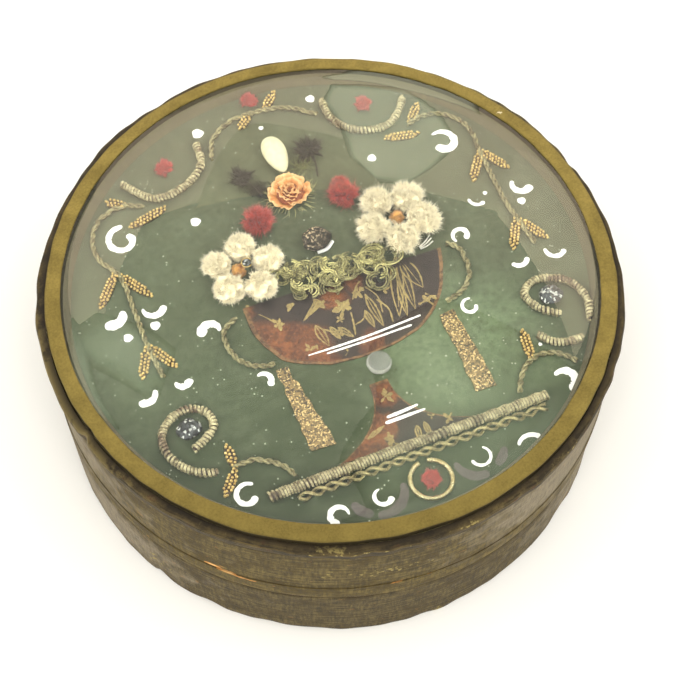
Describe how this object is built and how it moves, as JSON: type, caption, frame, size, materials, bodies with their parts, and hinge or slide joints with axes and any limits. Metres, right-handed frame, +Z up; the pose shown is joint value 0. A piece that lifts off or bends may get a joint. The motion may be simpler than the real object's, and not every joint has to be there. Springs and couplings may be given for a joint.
{
  "type": "round cardboard box",
  "caption": "Round paper-covered card box with a lift-off lid that holds a collage of wire, beads and chenille under domed glass.",
  "frame": {"origin": "middle of the underside", "axes": "+Z up through the lid, +Y towards the top of the picture, +X to its right"},
  "size_m": [0.0998, 0.1, 0.0395],
  "materials": {
    "band_paper": "worn grey-brown paper with traces of gilt",
    "plain_card": "bare card",
    "green_ground": "matt grey-green paint",
    "inner_paper": "plain lining paper",
    "gilt_paper": "matt old gold",
    "clear_glass": "clear",
    "glass_bead": "clear",
    "shell_paper": "tortoiseshell pattern with gilt sprigs",
    "silver_purl": "pale wrapped wire",
    "gilt_wire": "twisted wire",
    "beaded_gilt": "beaded, bright",
    "glitter_paper": "gold glitter",
    "chenille": "fuzzy cream pile",
    "orange_tuft": "fuzzy",
    "rose_paper": "crinkled",
    "bud_paper": "matt",
    "red_wool": "fuzzy",
    "dark_tuft": "wispy",
    "ore_stone": "dark with metallic glints",
    "moss_thread": "curled metal thread",
    "foil_stone": "dark foiled glass",
    "brass_wire": "polished wire"
  },
  "bodies": {
    "root": {"base_bottom": "plain_card", "base_wall": "band_paper", "base_neck": "inner_paper", "lid_wall": "band_paper", "lid_board": "green_ground", "lid_spacer": "inner_paper", "lid_glass": "clear_glass", "gilt_ring": "gilt_paper", "bowl": "shell_paper", "bowl_foot": "shell_paper", "stem_bead": "glass_bead", "table_bar": "silver_purl", "table_cord": "gilt_wire", "handle_left": "gilt_wire", "handle_right": "gilt_wire", "ribbon_left": "glitter_paper", "ribbon_right": "glitter_paper", "flower_left": "chenille", "flower_right": "chenille", "flower_centre_left": "orange_tuft", "flower_centre_right": "orange_tuft", "rose": "rose_paper", "white_bud": "bud_paper", "pompom_left": "red_wool", "pompom_right": "red_wool", "floret_left": "dark_tuft", "floret_right": "dark_tuft", "ore_nugget": "ore_stone", "moss": "moss_thread", "silver_sprig": "silver_purl", "crescent_left": "silver_purl", "crescent_right": "silver_purl", "spiral_left": "silver_purl", "spiral_right": "silver_purl", "small_arc": "silver_purl", "stone_left": "foil_stone", "stone_right": "foil_stone", "red_tuft_top": "red_wool", "red_tuft_left": "red_wool", "red_tuft_right": "red_wool", "red_tuft_bottom": "red_wool", "brass_ring": "brass_wire", "garland_top": "gilt_wire", "garland_left": "gilt_wire", "garland_right": "gilt_wire", "garland_lower_right": "gilt_wire", "garland_lower_left": "gilt_wire", "long_leaf_left": "beaded_gilt", "long_leaf_right": "beaded_gilt"}
  },
  "joints": []
}
